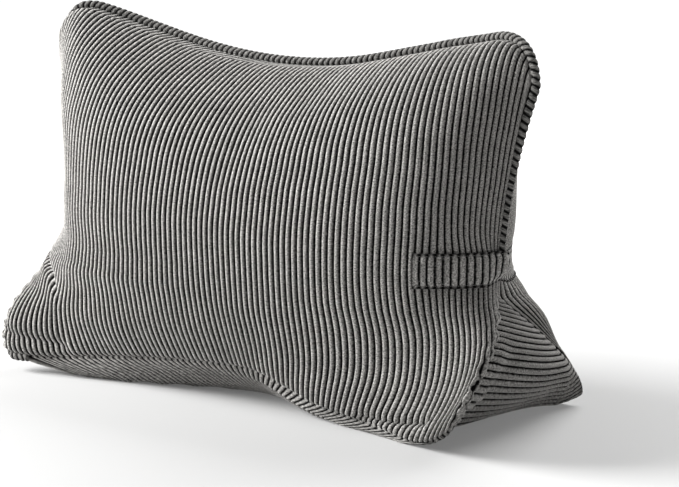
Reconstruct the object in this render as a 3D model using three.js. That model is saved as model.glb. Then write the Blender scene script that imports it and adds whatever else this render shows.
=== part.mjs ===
import * as THREE from "three";

// Driving sizes in millimetres. X runs along the pillow, Y from front to back, Z up.
const TOP_HALF = 290; // half length of the top seam
const TOP_HEIGHT = 370; // top seam near its corners
const TOP_DIP = 54; // sag of the top seam at its middle
const TOP_RADIUS = 50; // rounded upper corners of both panels
const WAIST_HALF = 255; // half length where the side seam meets the end gusset
const FOOT_HALF = 276; // half length along the front foot
const HEEL_HALF = 256; // half length along the back foot
const FOOT_RADIUS = 46; // rounded lower corners of the front panel
const HEEL_RADIUS = 20; // rounded lower corners of the back panel
const FOOT_HEIGHT = 8; // lower seams above the floor near the corners
const FOOT_ARCH = 32; // rise of the lower seams at their middle
const FRONT_SEAM = 98; // lower front seam in front of the top seam, at the middle
const BACK_SEAM = 88; // lower back seam behind the top seam, at the middle
const FRONT_CROWN = 210; // fullness of the front panel
const BACK_CROWN = 165; // fullness of the back panel
const CORNER_FORWARD = 32; // start of the side seam in front of the top seam
const APEX_FORWARD = 50; // end of the side seam in front of the top seam
const FOOT_FORWARD = 124; // front foot corner in front of the top seam
const HEEL_BACK = 104; // back foot corner behind the top seam
const APEX_SHARE = 0.7; // share of the panel height above the gusset
const DEPTH_SHIFT = 13; // centres the pillow front to back
const RIBS = 90; // corduroy ribs across a panel
const RIB_PITCH = 6.6;
const RIB_RELIEF = 1.8; // groove to crest
const PIPING_RADIUS = 4.2;
const PIPING_GROOVE = 0.9;
const PIPING_GAP = 1.5;
const PIPING_SIDES = 6;
const STRAP_WIDTH = 31;
const STRAP_REACH = 0.3; // share of the half panel under each strap end
const STRAP_HEIGHT = 155; // middle of the strap above the floor
const STRAP_THICKNESS = 2.6;
const STRAP_GAP = 1;
const PANEL_ROWS = [0, 0.04, 0.11, 0.21, 0.33, 0.45, 0.55, 0.63, APEX_SHARE, 0.8, 0.9, 1];

const FRONT = { sign: -1, seam: FRONT_SEAM, crown: FRONT_CROWN, half: FOOT_HALF, reach: FOOT_FORWARD };
const BACK = { sign: 1, seam: BACK_SEAM, crown: BACK_CROWN, half: HEEL_HALF, reach: HEEL_BACK };
FRONT.radius = FOOT_RADIUS;
BACK.radius = HEEL_RADIUS;

const mix = (a, b, share) => a + (b - a) * share;

// How far a rounded corner falls away from the straight edge, at an inset from its end.
function cornerFall(inset, radius) {
  if (inset >= radius) return 0;
  const run = radius - Math.max(inset, 0);
  return radius - Math.sqrt(Math.max(radius * radius - run * run, 0));
}

// Right-hand edge of a panel: side seam above the gusset, then the edge down to the foot.
function panelEdge(v, face) {
  if (v <= APEX_SHARE) {
    const a = v / APEX_SHARE;
    const ease = (1 + Math.cos(Math.PI * Math.pow(a, 0.8))) / 2;
    return { x: mix(WAIST_HALF, TOP_HALF, ease), y: -mix(CORNER_FORWARD, APEX_FORWARD, a) };
  }
  const b = (v - APEX_SHARE) / (1 - APEX_SHARE);
  const sweep = Math.sin((b * Math.PI) / 2);
  return {
    x: mix(WAIST_HALF, face.half, sweep),
    y: mix(-APEX_FORWARD, face.sign * face.reach, Math.pow(sweep, 1.1)),
  };
}

// Share of the half length reached by a rib: ribs lie a little closer near the ends.
function reachOf(u, v) {
  const q = Math.abs(u);
  const spread = -0.07 + 0.84 * v * (1 - v);
  return Math.min(q * (1 + spread * (1 - q ** 4)), 1);
}

// Heights of the upper and lower seams of a panel.
function seamHeights(g, face) {
  const fall = cornerFall(TOP_HALF * (1 - g), TOP_RADIUS);
  const rise = cornerFall(face.half * (1 - g), face.radius);
  return {
    top: TOP_HEIGHT - TOP_DIP * (1 - g * g) ** 1.15 - fall,
    foot: FOOT_HEIGHT + FOOT_ARCH * (1 - g ** 1.5) + rise,
  };
}

// Point of a panel: u runs -1 to 1 across the ribs, v runs 0 to 1 down them.
function panelPoint(u, v, face) {
  const q = Math.abs(u);
  const g = reachOf(u, v);
  const edge = panelEdge(v, face);
  const middle = face.sign * (face.seam * v + face.crown * Math.sqrt(v) * (1 - v));
  const fullness = 0.85 * q ** 3.6 + 0.15 * q ** 12;
  const low = v ** 8;
  const high = (1 - v) ** 12;
  const weight = fullness * (1 - low) * (1 - high) + q ** 2.2 * low + q ** 6 * high;
  const cheek = 4 * q ** 8 * (1 - q ** 8) * Math.exp(-(((v - 0.84) / 0.14) ** 2));
  const { top, foot } = seamHeights(g, face);
  return new THREE.Vector3(
    Math.sign(u) * (edge.x * g + (face === FRONT ? 18 : 8) * cheek),
    mix(middle, edge.y, weight) + face.sign * 12 * cheek + DEPTH_SHIFT,
    mix(top, foot, v),
  );
}

// Outward direction of a panel.
function panelNormal(u, v, face) {
  const h = 0.004;
  const u0 = Math.max(u - h, -1);
  const u1 = Math.min(u + h, 1);
  const v0 = Math.max(v - h, 0);
  const v1 = Math.min(v + h, 1);
  const across = panelPoint(u1, v, face).sub(panelPoint(u0, v, face));
  const down = panelPoint(u, v1, face).sub(panelPoint(u, v0, face));
  return down.cross(across).multiplyScalar(-face.sign).normalize();
}

// Evenly spaced points along a polyline.
function resample(points, count) {
  const lengths = [0];
  for (let i = 1; i < points.length; i += 1) {
    lengths.push(lengths[i - 1] + points[i].distanceTo(points[i - 1]));
  }
  const total = lengths[lengths.length - 1];
  const out = [];
  let k = 1;
  for (let i = 0; i <= count; i += 1) {
    const want = (total * i) / count;
    while (k < points.length - 1 && lengths[k] < want) k += 1;
    const share = (want - lengths[k - 1]) / (lengths[k] - lengths[k - 1]);
    out.push(points[k - 1].clone().lerp(points[k], Math.min(Math.max(share, 0), 1)));
  }
  return out;
}

function polylineLength(points) {
  let total = 0;
  for (let i = 1; i < points.length; i += 1) total += points[i].distanceTo(points[i - 1]);
  return total;
}

// Column where the straight lower seam ends and the rounded corner begins.
const COLUMNS = RIBS * 2;
const columnShare = (i) => (2 * i) / COLUMNS - 1;
let cornerColumn = 0;
while (FOOT_HALF * (1 + columnShare(cornerColumn) * 0.93) < FOOT_RADIUS) cornerColumn += 1;

// Lower edge of a panel from the start of its corner up to the gusset apex, right end.
function footEdge(face) {
  const points = [];
  const start = -columnShare(cornerColumn);
  for (let i = 0; i <= 60; i += 1) {
    const share = Math.sin((i / 60) * (Math.PI / 2));
    points.push(panelPoint(mix(start, 1, share), 1, face));
  }
  for (let i = 1; i <= 40; i += 1) points.push(panelPoint(1, mix(1, APEX_SHARE, i / 40), face));
  return points;
}

// Bottom of the pillow: shares across its depth and how far each row drops to the floor.
const BASE_ROWS = [
  { share: 0, drop: 0 },
  { share: 0.09, drop: 0.62 },
  { share: 0.22, drop: 1 },
  { share: 0.5, drop: 1 },
  { share: 0.78, drop: 1 },
  { share: 0.91, drop: 0.62 },
  { share: 1, drop: 0 },
];

const cushionGeometry = (() => {
  const positions = [];
  const faces = [];
  const add = (p) => {
    positions.push(p.x, p.y, Math.max(p.z, 0));
    return positions.length / 3 - 1;
  };
  const at = (index) => new THREE.Vector3().fromArray(positions, index * 3);
  const tri = (a, b, c) => {
    if (a !== b && b !== c && c !== a) faces.push(a, b, c);
  };
  const quad = (a, b, c, d) => {
    tri(a, b, c);
    tri(a, c, d);
  };
  const relief = (k) => (k % 2 === 0 ? -RIB_RELIEF / 2 : RIB_RELIEF / 2);
  const last = PANEL_ROWS.length - 1;

  const buildPanel = (face, shared) => {
    const grid = [];
    for (let i = 0; i <= COLUMNS; i += 1) {
      const u = columnShare(i);
      const side = i === 0 || i === COLUMNS;
      grid.push(
        PANEL_ROWS.map((v, j) => {
          if (shared && (j === 0 || (side && v <= APEX_SHARE))) return shared[i][j];
          const p = panelPoint(u, v, face);
          if (!side && j > 0 && j < last) p.addScaledVector(panelNormal(u, v, face), relief(i));
          return add(p);
        }),
      );
    }
    for (let i = 0; i < COLUMNS; i += 1) {
      for (let j = 0; j < last; j += 1) {
        const ring = [grid[i][j], grid[i][j + 1], grid[i + 1][j + 1], grid[i + 1][j]];
        if (face === BACK) ring.reverse();
        quad(...ring);
      }
    }
    return grid;
  };
  const front = buildPanel(FRONT, null);
  const back = buildPanel(BACK, front);

  // Bottom panel between the two lower seams, pressed flat on the floor.
  const base = [];
  for (let i = cornerColumn; i <= COLUMNS - cornerColumn; i += 1) {
    const a = at(front[i][last]);
    const b = at(back[i][last]);
    base.push(
      BASE_ROWS.map((row, k) => {
        if (k === 0) return front[i][last];
        if (k === BASE_ROWS.length - 1) return back[i][last];
        const p = a.clone().lerp(b, row.share);
        p.z = row.drop === 1 ? 0 : p.z * (1 - row.drop) + relief(i) * 0.8;
        return add(p);
      }),
    );
  }
  for (let i = 0; i < base.length - 1; i += 1) {
    for (let k = 0; k < BASE_ROWS.length - 1; k += 1) {
      quad(base[i][k], base[i][k + 1], base[i + 1][k + 1], base[i + 1][k]);
    }
  }

  // Triangular end gussets, carried on from the bottom panel, ribs lying level.
  const frontEdge = footEdge(FRONT);
  const backEdge = footEdge(BACK);
  const levels = 2 * Math.round(polylineLength(frontEdge) / RIB_PITCH / 2) * 2;
  const frontLevels = resample(frontEdge, levels);
  const backLevels = resample(backEdge, levels);
  const shownLevels = levels - 4;
  const buildGusset = (side) => {
    const column = side > 0 ? COLUMNS - cornerColumn : cornerColumn;
    const step = side > 0 ? 1 : -1;
    const rim = (grid) => {
      const list = [];
      for (let i = column; i >= 0 && i <= COLUMNS; i += step) list.push(grid[i][last]);
      const end = side > 0 ? COLUMNS : 0;
      for (let j = last - 1; PANEL_ROWS[j] >= APEX_SHARE; j -= 1) list.push(grid[end][j]);
      return list;
    };
    const frontRim = rim(front);
    const backRim = rim(back);
    const apex = frontRim[frontRim.length - 1];
    const inner = [base[side > 0 ? base.length - 1 : 0].slice(1, -1)];
    for (let l = 1; l <= shownLevels; l += 1) {
      const rise = l / levels;
      inner.push(
        BASE_ROWS.slice(1, -1).map((row) => {
          const p = frontLevels[l].clone().lerp(backLevels[l], row.share);
          const hump = 4 * row.share * (1 - row.share);
          const fade = (1 - rise) ** 2;
          p.x += hump * (12 * Math.sin(Math.PI * rise)) + relief(l) * Math.min(1, rise * 3);
          p.z -= fade * (hump * 22 * rise + frontLevels[0].z * row.drop) - relief(l) * fade * 0.2;
          p.x *= side;
          return add(p);
        }),
      );
    }
    const turn = (a, b, c) => (side > 0 ? tri(a, b, c) : tri(a, c, b));
    for (let l = 0; l < shownLevels; l += 1) {
      for (let k = 0; k < inner[l].length - 1; k += 1) {
        turn(inner[l][k], inner[l][k + 1], inner[l + 1][k + 1]);
        turn(inner[l][k], inner[l + 1][k + 1], inner[l + 1][k]);
      }
    }
    const tip = inner[shownLevels];
    for (let k = 0; k < tip.length - 1; k += 1) turn(tip[k], tip[k + 1], apex);
    // Sews one edge of the gusset to the matching rim of a panel.
    const sew = (rimList, edgeList, forward) => {
      let a = 0;
      let b = 0;
      while (a < rimList.length - 1 || b < edgeList.length - 1) {
        const rimLeft = a < rimList.length - 1;
        const edgeLeft = b < edgeList.length - 1;
        const nextRim = rimLeft ? at(rimList[a + 1]).distanceTo(at(edgeList[b])) : Infinity;
        const nextEdge = edgeLeft ? at(edgeList[b + 1]).distanceTo(at(rimList[a])) : Infinity;
        if (nextRim <= nextEdge) {
          if (forward) turn(rimList[a], edgeList[b], rimList[a + 1]);
          else turn(rimList[a], rimList[a + 1], edgeList[b]);
          a += 1;
        } else {
          if (forward) turn(rimList[a], edgeList[b], edgeList[b + 1]);
          else turn(rimList[a], edgeList[b + 1], edgeList[b]);
          b += 1;
        }
      }
    };
    const frontSide = inner.map((level) => level[0]);
    const backSide = inner.map((level) => level[level.length - 1]);
    sew(frontRim, frontSide, true);
    sew(backRim, backSide, false);
  };
  buildGusset(1);
  buildGusset(-1);

  const geometry = new THREE.BufferGeometry();
  geometry.setAttribute("position", new THREE.Float32BufferAttribute(positions, 3));
  geometry.setIndex(faces);
  geometry.computeVertexNormals();
  return geometry;
})();

// Seam followed by the piping with the direction that points out of the pillow there.
function seamPoint(u, v) {
  const inU = Math.sign(u) * Math.min(Math.abs(u), 0.97);
  const inV = Math.min(Math.max(v, 0.02), 0.98);
  const gusset = new THREE.Vector3(Math.sign(u), 0.1, -0.7 * v ** 8);
  const onGusset = THREE.MathUtils.smoothstep(v, APEX_SHARE - 0.12, APEX_SHARE);
  const out = panelNormal(inU, inV, BACK).lerp(gusset, onGusset);
  out.add(panelNormal(inU, inV, FRONT)).normalize();
  return { point: panelPoint(u, v, FRONT), out };
}

const pipingGeometry = (() => {
  const half = [];
  const foot = -columnShare(cornerColumn);
  for (let i = 0; i <= 40; i += 1) {
    const share = Math.sin((i / 40) * (Math.PI / 2));
    half.push(seamPoint(mix(foot, 1, share), 1));
  }
  for (let i = 1; i <= 80; i += 1) half.push(seamPoint(1, 1 - i / 80));
  for (let i = 1; i <= 160; i += 1) half.push(seamPoint(Math.cos((i / 160) * (Math.PI / 2)), 0));
  const offset = PIPING_RADIUS + PIPING_GAP;
  const run = half.map((s) => ({ centre: s.point.clone().addScaledVector(s.out, offset), out: s.out }));
  for (let i = run.length - 2; i >= 0; i -= 1) {
    const flip = new THREE.Vector3(-1, 1, 1);
    run.push({ centre: run[i].centre.clone().multiply(flip), out: run[i].out.clone().multiply(flip) });
  }
  const centres = run.map((r) => r.centre);
  const rings = 2 * Math.round(polylineLength(centres) / RIB_PITCH);
  const path = resample(centres, rings);
  const outs = path.map((p) => {
    let best = run[0];
    for (const r of run) if (r.centre.distanceToSquared(p) < best.centre.distanceToSquared(p)) best = r;
    return best.out;
  });
  const positions = [];
  const faces = [];
  path.forEach((p, i) => {
    const tangent = path[Math.min(i + 1, rings)].clone().sub(path[Math.max(i - 1, 0)]).normalize();
    const side = tangent.clone().cross(outs[i]).normalize();
    const up = side.clone().cross(tangent);
    const radius = i % 2 === 0 ? PIPING_RADIUS - PIPING_GROOVE : PIPING_RADIUS;
    for (let k = 0; k < PIPING_SIDES; k += 1) {
      const angle = (2 * Math.PI * (k + 0.5)) / PIPING_SIDES;
      const q = p.clone().addScaledVector(up, radius * Math.cos(angle));
      q.addScaledVector(side, radius * Math.sin(angle));
      positions.push(q.x, q.y, q.z);
    }
  });
  for (let i = 0; i < rings; i += 1) {
    for (let k = 0; k < PIPING_SIDES; k += 1) {
      const a = i * PIPING_SIDES + k;
      const b = i * PIPING_SIDES + ((k + 1) % PIPING_SIDES);
      faces.push(a, b, b + PIPING_SIDES, a, b + PIPING_SIDES, a + PIPING_SIDES);
    }
  }
  const end = rings * PIPING_SIDES;
  for (let k = 1; k < PIPING_SIDES - 1; k += 1) {
    faces.push(0, k + 1, k);
    faces.push(end, end + k, end + k + 1);
  }
  const geometry = new THREE.BufferGeometry();
  geometry.setAttribute("position", new THREE.Float32BufferAttribute(positions, 3));
  geometry.setIndex(faces);
  geometry.computeVertexNormals();
  return geometry;
})();

// Carry strap: lies on the front panel, crosses the side piping and lies on the back panel.
const strapGeometry = (() => {
  const across = 4;
  const firstColumn = Math.round(COLUMNS * (1 - STRAP_REACH / 2));
  const lastColumn = COLUMNS - 4;
  const innerReach = RIB_RELIEF / 2 + STRAP_GAP;
  const crossing = PIPING_RADIUS + STRAP_GAP + 0.4;
  const lines = [];
  for (let r = 0; r < across; r += 1) {
    const z = STRAP_HEIGHT + (0.5 - r / (across - 1)) * STRAP_WIDTH;
    const line = [];
    const shareDown = (u, face) => {
      const { top, foot } = seamHeights(reachOf(u, 0.55), face);
      return (top - z) / (top - foot);
    };
    const lay = (face, k) => {
      const u = columnShare(k);
      const v = shareDown(u, face);
      const normal = panelNormal(u, v, face);
      return { point: panelPoint(u, v, face).addScaledVector(normal, innerReach), normal };
    };
    for (let k = firstColumn; k <= lastColumn; k += 1) line.push(lay(FRONT, k));
    const v = shareDown(1, FRONT);
    const seam = seamPoint(1, v);
    const centre = seam.point.clone().addScaledVector(seam.out, PIPING_RADIUS + PIPING_GAP);
    const first = panelNormal(0.955, v, FRONT);
    const second = panelNormal(0.955, v, BACK);
    for (let k = 0; k <= 8; k += 1) {
      const normal = first.clone().lerp(seam.out, Math.min(k / 4, 1));
      if (k > 4) normal.lerp(second, (k - 4) / 4);
      normal.normalize();
      line.push({ point: centre.clone().addScaledVector(normal, crossing), normal });
    }
    for (let k = lastColumn; k >= firstColumn; k -= 1) line.push(lay(BACK, k));
    lines.push(line);
  }
  const count = lines[0].length;
  const positions = [];
  const faces = [];
  for (let s = 0; s < count; s += 1) {
    for (let layer = 0; layer < 2; layer += 1) {
      for (let r = 0; r < across; r += 1) {
        const { point, normal } = lines[r][s];
        const crest = s % 2 === 0 ? 0 : 0.8;
        const q = point.clone().addScaledVector(normal, layer * (STRAP_THICKNESS - 0.8 + crest));
        positions.push(q.x, q.y, q.z);
      }
    }
  }
  const id = (s, layer, r) => s * across * 2 + layer * across + r;
  const quad = (a, b, c, d) => faces.push(a, b, c, a, c, d);
  for (let s = 0; s < count - 1; s += 1) {
    for (let r = 0; r < across - 1; r += 1) {
      quad(id(s, 1, r), id(s, 1, r + 1), id(s + 1, 1, r + 1), id(s + 1, 1, r));
      quad(id(s, 0, r), id(s + 1, 0, r), id(s + 1, 0, r + 1), id(s, 0, r + 1));
    }
    quad(id(s, 0, 0), id(s, 1, 0), id(s + 1, 1, 0), id(s + 1, 0, 0));
    const e = across - 1;
    quad(id(s, 0, e), id(s + 1, 0, e), id(s + 1, 1, e), id(s, 1, e));
  }
  for (let r = 0; r < across - 1; r += 1) {
    quad(id(0, 0, r), id(0, 0, r + 1), id(0, 1, r + 1), id(0, 1, r));
    quad(id(count - 1, 0, r), id(count - 1, 1, r), id(count - 1, 1, r + 1), id(count - 1, 0, r + 1));
  }
  const geometry = new THREE.BufferGeometry();
  geometry.setAttribute("position", new THREE.Float32BufferAttribute(positions, 3));
  geometry.setIndex(faces);
  geometry.computeVertexNormals();
  return geometry;
})();

const corduroy = new THREE.MeshStandardMaterial({ color: 0x6f6e6b, roughness: 0.95, metalness: 0 });
const corduroyTrim = new THREE.MeshStandardMaterial({ color: 0x656461, roughness: 0.95, metalness: 0 });

const group = new THREE.Group();
for (const [name, geometry, material] of [
  ["cushion", cushionGeometry, corduroy],
  ["piping", pipingGeometry, corduroyTrim],
  ["handle", strapGeometry, corduroyTrim],
]) {
  const mesh = new THREE.Mesh(geometry, material);
  mesh.name = name;
  group.add(mesh);
}

export default group;
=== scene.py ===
import math

import bpy
import numpy as np
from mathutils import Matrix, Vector


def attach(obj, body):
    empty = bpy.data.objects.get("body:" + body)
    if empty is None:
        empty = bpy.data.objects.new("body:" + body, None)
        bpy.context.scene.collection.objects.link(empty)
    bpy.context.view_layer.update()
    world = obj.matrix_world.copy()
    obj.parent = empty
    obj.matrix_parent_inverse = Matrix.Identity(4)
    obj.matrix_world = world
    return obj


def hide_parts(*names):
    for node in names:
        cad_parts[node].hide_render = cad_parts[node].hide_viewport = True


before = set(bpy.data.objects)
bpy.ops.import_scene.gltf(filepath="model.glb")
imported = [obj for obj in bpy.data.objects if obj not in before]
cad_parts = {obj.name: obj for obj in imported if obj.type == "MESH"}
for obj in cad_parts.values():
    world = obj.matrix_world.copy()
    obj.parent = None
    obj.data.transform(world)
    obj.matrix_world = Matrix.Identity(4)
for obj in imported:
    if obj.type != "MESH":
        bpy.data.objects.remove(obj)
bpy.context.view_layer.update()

# Filled cover: a front panel, a back panel and a base strip that folds up into both end gussets, cut from
# wide-wale corduroy, sewn into one pouch and stuffed. The ribs run down the panels and front to back on the
# strip. A short cloth simulation blows the stuffing into a coarse pouch, then the ribs are raised.
TOP_HALF = dict(left=0.289, right=0.281)
TOP_RADIUS = dict(left=0.042, right=0.050)
TAPER = dict(left=0.75, right=0.52)
TOP_HEIGHT = 0.370
TOP_DIP = 0.054
DIP_ROUND = 1.15
TOP_RISES = ((0.0025, 0.45, 0.2), (0.0035, -0.75, 0.4))
TOP_FALL = 0.008
TOP_FALL_RUN = (0.6, 0.95)
WAIST_HALF = 0.255
EAR_LEAD = 0.010
EAR_PLACE = (0.712, 0.052)
WAIST_NIP = 0.005
NIP_PLACE = (0.42, 0.13)
CORNER_FORWARD = 0.032
APEX_FORWARD = 0.050
APEX_SHARE = 0.70
FOOT_HEIGHT = 0.008
FOOT_ARCH = 0.032
ARCH_ROUND = 1.5
FOOT_RADIUS = 0.046
SAG_START = (0.05, 0.4)
SAG_END = (0.7, 1)
SAG_RELEASE = 0.9
LIP_RUN = (0.75, 0.95)
DEPTH_SHIFT = 0.013
# Both panels: sign is the way out, crown and full shape the middle, half, reach and radius place the feet,
# cheek and puff swell above them, and the rest says how ribs crowd, spread and sag toward the gussets.
FRONT = dict(
    sign=-1, seam=0.098, crown=0.210, full=3.6, reach=0.112, swing=2.4,
    half=dict(left=0.295, right=0.264), radius=dict(left=0.028, right=0.062),
    cheek=dict(left=0.018, right=0.054), puff=dict(left=0.023, right=0.032),
    puff_share=dict(left=0.862, right=0.845), puff_spread=0.15, pinch=0.0, sag=0.016, lip=0.005,
    crowd=0.0, press=0.5, hurry=0.5, bunch=0.0, open=4.5,
)
BACK = dict(
    sign=1, seam=0.088, crown=0.165, full=2.25, reach=0.104, swing=1.5,
    half=dict(left=0.256, right=0.256), radius=dict(left=0.006, right=0.006),
    cheek=dict(left=0.008, right=0.0142), puff=dict(left=0.020, right=0.0175),
    puff_share=dict(left=0.76, right=0.742), puff_spread=0.12, pinch=0.010, sag=0.0, lip=0.0,
    crowd=0.7, press=0.0, hurry=-0.5, bunch=0.053, open=2.0,
)
PINCH_PLACE = (0.61, 0.06)
CROWD_PLACE = (0.8, 0.13)
RIBS = 96
RIB_PITCH = 0.0066
RIB_RELIEF = 0.0042
RIB_ROUND = 2.2
RIB_DRIFT = 0.0004
RIB_STEPS = np.array([0.0, 0.1, 0.28, 0.5, 0.72, 0.9])
RIB_BUNCH = 0.067
BUNCH_RUN = (0.3, 0.7)
BUNCH_ROUND = 7
OPEN_RUN = (0.62, 0.82)
WAIST_SPREAD = 0.84
END_SPREAD = 0.07
PANEL_ROWS = (33, 25, 14)
ROW_EASE = 1.25
LOW_SHARE = 0.87
STRIP_ROWS = 20
GUSSET_RIBS = 24
GUSSET_TILT = 0.13
GUSSET_SPREAD = 0.3
CORNER_SHARE = 0.86
BASE_RIBS = 2 * round(CORNER_SHARE * FRONT["half"]["right"] / RIB_PITCH)
EDGE_POINTS = 60


def corner_fall(inset, radius):
    """How far a rounded corner falls away from the straight edge, at an inset from its end."""
    run = np.clip(radius - inset, 0, radius)
    return radius - np.sqrt(radius**2 - run**2)


def smooth_step(x, low, high):
    """Rises smoothly from 0 at low to 1 at high."""
    t = np.clip((x - low) / (high - low), 0, 1)
    return t * t * (3 - 2 * t)


def mound(x, centre, spread):
    """Rises to 1 at a centre and falls away on both sides of it."""
    return np.exp(-(((x - centre) / spread) ** 2))


def by_side(u, sizes):
    """The left or the right one of two sizes."""
    return np.where(u > 0, sizes["right"], sizes["left"])


def panel_edge(u, v, face):
    """Edge of a panel on the side of u: side seam above the gusset, then the edge down to the foot."""
    a = np.clip(v / APEX_SHARE, 0, 1)
    ease = (1 + np.cos(np.pi * a ** by_side(u, TAPER))) / 2
    sweep = np.sin(np.clip((v - APEX_SHARE) / (1 - APEX_SHARE), 0, 1) * np.pi / 2)
    lead = EAR_LEAD * mound(v, *EAR_PLACE) - WAIST_NIP * mound(v, *NIP_PLACE)
    x = WAIST_HALF + lead * (u < 0) + (by_side(u, TOP_HALF) - WAIST_HALF) * ease
    x = x + (by_side(u, face["half"]) - WAIST_HALF) * sweep
    y = -(CORNER_FORWARD + (APEX_FORWARD - CORNER_FORWARD) * a)
    return x, y + (face["sign"] * face["reach"] + APEX_FORWARD) * sweep ** face["swing"]


def seam_heights(g):
    """Heights of the top seam and of the foot at a share of the half length, negative on the left."""
    q = np.minimum(np.abs(g), 1)
    lean = sum(rise * mound(g, centre, spread) for rise, centre, spread in TOP_RISES)
    lean = lean - TOP_FALL * smooth_step(g, *TOP_FALL_RUN)
    top = TOP_HEIGHT + lean - TOP_DIP * (1 - q**2) ** DIP_ROUND
    top = top - corner_fall(by_side(g, TOP_HALF) * (1 - q), by_side(g, TOP_RADIUS))
    foot = FOOT_HEIGHT + FOOT_ARCH * (1 - q**ARCH_ROUND)
    return top, foot + corner_fall(WAIST_HALF * (1 - q), FOOT_RADIUS)


def foot_change(g, face):
    """How far the foot seam of a panel lies above the common foot, below the tips of the gussets."""
    inset = np.maximum(1 - np.abs(g), 0)
    sag = face["sag"] * smooth_step(g, *SAG_START) * (1 - SAG_RELEASE * smooth_step(g, *SAG_END))
    own = corner_fall(by_side(g, face["half"]) * inset, by_side(g, face["radius"]))
    lip = face["lip"] * smooth_step(-g, *LIP_RUN)
    return own - corner_fall(WAIST_HALF * inset, FOOT_RADIUS) - sag + lip


def rib_share(u, v, face):
    """Share of the half width at which a rib lies: ribs bunch at the ends and spread below the waist."""
    q = np.abs(u)
    bunch = RIB_BUNCH + face["bunch"] * smooth_step(v, *BUNCH_RUN)
    ends = BUNCH_ROUND - face["open"] * smooth_step(v, *OPEN_RUN)
    return q * (1 + bunch - bunch * q**ends)


def reach_of(u, v, face):
    """Share of the half length that a rib reaches: ribs lie closer near the ends, most behind a gusset."""
    q = rib_share(u, v, face)
    crowd = face["crowd"] * mound(v, *CROWD_PLACE) + face["press"] * (u > 0) * v
    spread = 1 + (WAIST_SPREAD * v * (1 - v) - END_SPREAD) * (1 - q**4)
    return np.sign(u) * (np.minimum(q * spread, 1) + q**6 * (1 - q) * crowd)


def panel_point(u, v, face):
    """Point of a stuffed panel: u runs -1 to 1 across the ribs, v runs 0 to 1 down them."""
    u, v = np.broadcast_arrays(np.asarray(u, float), np.asarray(v, float))
    q = rib_share(u, v, face)
    g = reach_of(u, v, face)
    edge_x, edge_y = panel_edge(u, v, face)
    middle = face["sign"] * (face["seam"] * v + face["crown"] * np.sqrt(v) * (1 - v))
    # Powers of q keep the middle full and let the panel fall off near its edges, sooner at the foot.
    fullness = 0.85 * q ** face["full"] + 0.15 * q**12
    low = v**8
    high = (1 - v) ** 12
    weight = fullness * (1 - low) * (1 - high) + q**2.2 * low + q**6 * high
    edge_roll = 4 * q**8 * (1 - q**8)
    puffed = mound(v, by_side(u, face["puff_share"]), face["puff_spread"])
    puff = face["sign"] * by_side(u, face["puff"]) * edge_roll * puffed
    cheek = by_side(u, face["cheek"]) * (q**2 - q**24) * puffed
    pinch = edge_roll * face["pinch"] * mound(v, *PINCH_PLACE) * (u > 0)
    top, foot = seam_heights(g)
    x = edge_x * g + np.sign(u) * cheek - pinch
    y = middle + (edge_y - middle) * weight + puff + DEPTH_SHIFT
    z = top + (foot - top) * v + foot_change(g, face) * smooth_step(v, APEX_SHARE, 1)
    return np.stack([x, y, z], axis=-1)


def gusset_climb(count):
    """Share of the way up a gusset at counts of ribs from the middle of the base strip."""
    return np.clip((np.abs(count) - BASE_RIBS / 2) / GUSSET_RIBS, 0, 1)


def strip_edge(count, face):
    """Edge of the base strip on a panel, at counts of ribs from one gusset tip to the other."""
    edge = panel_point(np.clip(count / (BASE_RIBS / 2), -1, 1) * CORNER_SHARE, 1, face)
    climb = gusset_climb(count)
    climb = climb * (1 + face["hurry"] * (1 - climb))
    turn = np.sin(np.linspace(0, np.pi / 2, EDGE_POINTS))
    for side in (-1, 1):
        corner = panel_point(side * (CORNER_SHARE + (1 - CORNER_SHARE) * turn), 1, face)
        rise = panel_point(side, np.linspace(1, APEX_SHARE, EDGE_POINTS), face)
        path = np.concatenate([corner, rise[1:]])
        level = np.maximum.accumulate(path[:, 2] + GUSSET_TILT * path[:, 1])
        level[1:] += GUSSET_SPREAD * np.cumsum(np.linalg.norm(np.diff(path, axis=0), axis=1))
        ends = side * count > BASE_RIBS / 2
        targets = level[0] + (level[-1] - level[0]) * climb[ends]
        edge[ends] = np.stack([np.interp(targets, level, path[:, k]) for k in range(3)], axis=-1)
    return edge


HOLLOW_LEAST = 0.05
HOLLOW_MIDDLE = 0.40
HOLLOW_PLACE = (-0.015, 0.12)
HOLLOW_LEFT = ((0.04, 0.05, 0.15), (0.08, 0.20, 0.27))
HOLLOW_ROUND = 1.8
RIDGE_HEIGHT = 0.0065
RIDGE_PLACE = (0.16, 0.05)
VALLEY_PLACE = (0.27, 0.06)
VALLEY_DEPTH = 0.6
RIDGE_START = (0, 0.12)
RIDGE_END = (0.42, 0.66)
TUCK_DEPTH = 0.055
TUCK_FRONT = (0.04, 0.22)
TUCK_WIDENS = (0.08, 0.35)
TUCK_BACK = 0.08
TUCK_END = (0, 0.5)
GUSSET_SWELL = 0.012
GUSSET_SAG = 0.022


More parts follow.
